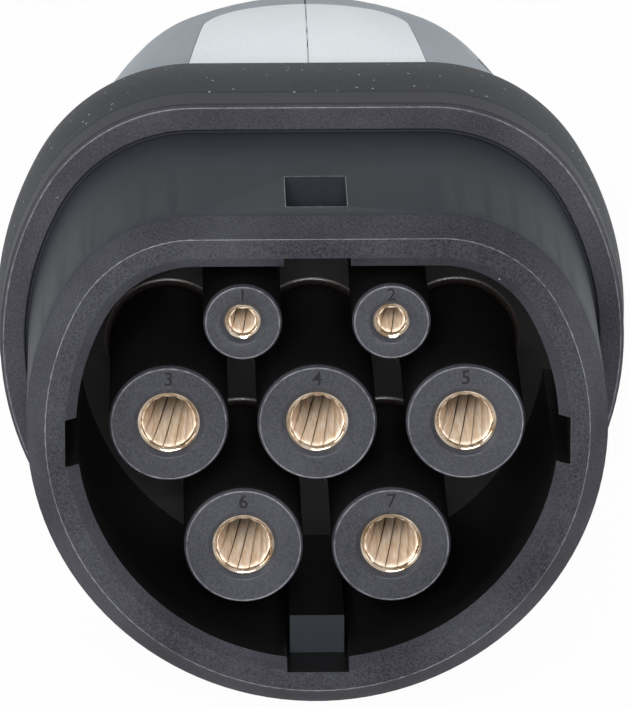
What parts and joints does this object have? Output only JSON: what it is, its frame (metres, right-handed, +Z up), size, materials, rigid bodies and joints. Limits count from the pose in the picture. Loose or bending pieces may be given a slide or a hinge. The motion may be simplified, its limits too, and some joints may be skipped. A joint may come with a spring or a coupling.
{
  "type": "ev charging plug",
  "caption": "Vehicle charging plug: flat-topped shroud round sockets in towers, collar, rubber band, hollow two-shell handle and cable gland.",
  "frame": {"origin": "on the axis of the earth socket, where its bore starts", "axes": "-Y out of the mating side, +Z up towards the flat of the shroud, the handle runs back along +Y"},
  "size_m": [0.075, 0.2331, 0.0701],
  "materials": {
    "shroud_plastic": "satin moulded",
    "carrier_plastic": "fine grain",
    "collar_plastic": "fine grain",
    "seal_rubber": "plain",
    "bumper_rubber": "matt",
    "screw_steel": "zinc plated",
    "gland_plastic": "matt",
    "clamp_plastic": "matt",
    "resistor_lacquer": "lacquered",
    "handle_plastic": "fine grain",
    "panel_plastic": "fine grain",
    "silvered_contact": "silver plated",
    "cage_bronze": "silver plated bronze"
  },
  "bodies": {
    "root": {"mating_shroud": "shroud_plastic", "contact_carrier": "carrier_plastic", "contact_lock_plate": "carrier_plastic", "collar": "collar_plastic", "collar_seal": "seal_rubber", "rubber_bumper": "bumper_rubber", "shell_screws": "screw_steel", "gland_seal": "seal_rubber", "gland_clamp_ring": "gland_plastic", "gland_nut": "gland_plastic", "cable_clamp_upper": "clamp_plastic", "cable_clamp_lower": "clamp_plastic", "cable_clamp_screws": "screw_steel", "coding_resistor": "resistor_lacquer", "handle_shell_left": "handle_plastic", "handle_shell_right": "handle_plastic", "light_panel_left": "panel_plastic", "light_panel_right": "panel_plastic", "contact_n": "silvered_contact", "spring_cage_n": "cage_bronze", "contact_pe": "silvered_contact", "spring_cage_pe": "cage_bronze", "contact_l1": "silvered_contact", "spring_cage_l1": "cage_bronze", "contact_l3": "silvered_contact", "spring_cage_l3": "cage_bronze", "contact_l2": "silvered_contact", "spring_cage_l2": "cage_bronze", "contact_cp": "silvered_contact", "spring_cage_cp": "cage_bronze", "contact_pp": "silvered_contact", "spring_cage_pp": "cage_bronze"}
  },
  "joints": []
}
